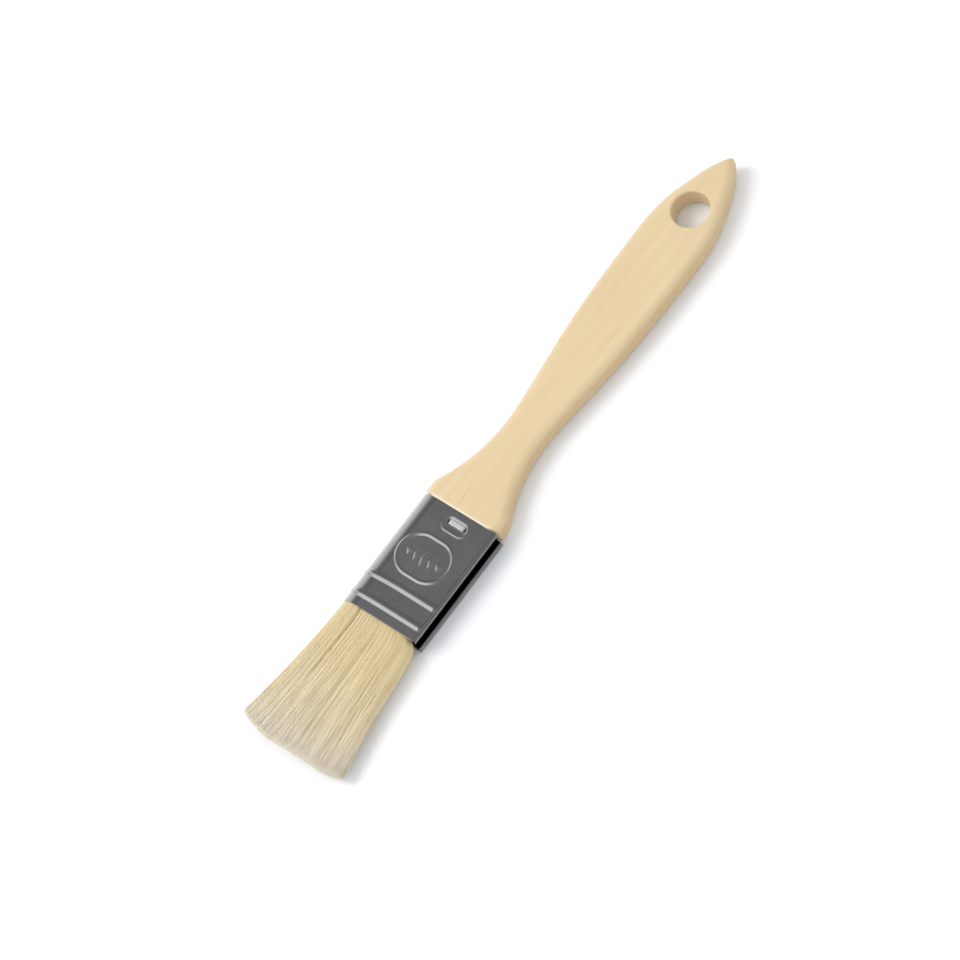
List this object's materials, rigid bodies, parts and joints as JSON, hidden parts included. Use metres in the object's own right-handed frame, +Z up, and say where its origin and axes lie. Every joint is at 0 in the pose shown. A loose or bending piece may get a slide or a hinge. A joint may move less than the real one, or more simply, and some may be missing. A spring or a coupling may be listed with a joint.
{
  "type": "flat paint brush",
  "caption": "Flat bristle brush with a tapered wooden handle, a hanging hole and a folded sheet-metal ferrule.",
  "frame": {"origin": "under the middle of the brush's length, on the surface that it lies on", "axes": "+X from the bristle tips to the handle tip, +Z up out of the front face"},
  "size_m": [0.2115, 0.033, 0.0081],
  "materials": {
    "lacquered_wood": "satin",
    "tinplate": "satin",
    "staple_wire": "bright",
    "card": "matte",
    "resin": "gloss",
    "bristle": "satin"
  },
  "bodies": {
    "root": {"handle": "lacquered_wood", "ferrule": "tinplate", "staple_front": "staple_wire", "staple_back": "staple_wire", "spacer_plug": "card", "setting_resin": "resin", "bristle_front_1": "bristle", "bristle_front_2": "bristle", "bristle_front_3": "bristle", "bristle_front_4": "bristle", "bristle_front_5": "bristle", "bristle_front_6": "bristle", "bristle_front_7": "bristle", "bristle_back_1": "bristle", "bristle_back_2": "bristle", "bristle_back_3": "bristle", "bristle_back_4": "bristle", "bristle_back_5": "bristle", "bristle_back_6": "bristle", "bristle_back_7": "bristle"}
  },
  "joints": []
}
